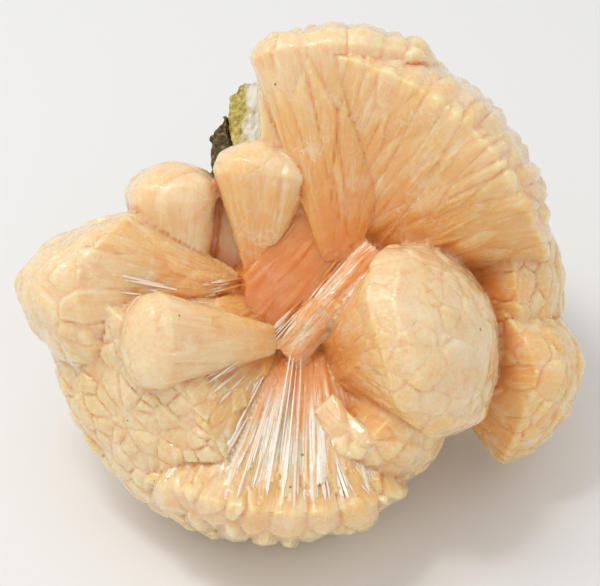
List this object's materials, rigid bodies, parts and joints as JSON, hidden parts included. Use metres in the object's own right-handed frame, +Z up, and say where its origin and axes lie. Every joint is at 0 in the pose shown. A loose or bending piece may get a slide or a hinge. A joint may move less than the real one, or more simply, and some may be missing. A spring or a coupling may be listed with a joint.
{
  "type": "stilbite cluster",
  "caption": "Peach stilbite cluster: flat crystals in bow-tie sheaves and fans grown into one mass, with a scrap of basalt and its pale crust behind.",
  "frame": {"origin": "on the resting plane, under the middle of the box around the whole cluster", "axes": "+Z up from the resting plane; +X across the display face to its viewer's right; -Y towards that viewer, whom the display face looks up at"},
  "size_m": [0.104, 0.093, 0.0846],
  "materials": {
    "stilbite": "translucent, glassy to pearly crystal faces, silky where the fibres show",
    "basalt": "matt, rough",
    "crust": "matt, grainy, with a white band beside the crystals"
  },
  "bodies": {
    "root": {"stilbite_cluster": "stilbite", "basalt_matrix": "basalt", "pale_crust": "crust"}
  },
  "joints": []
}
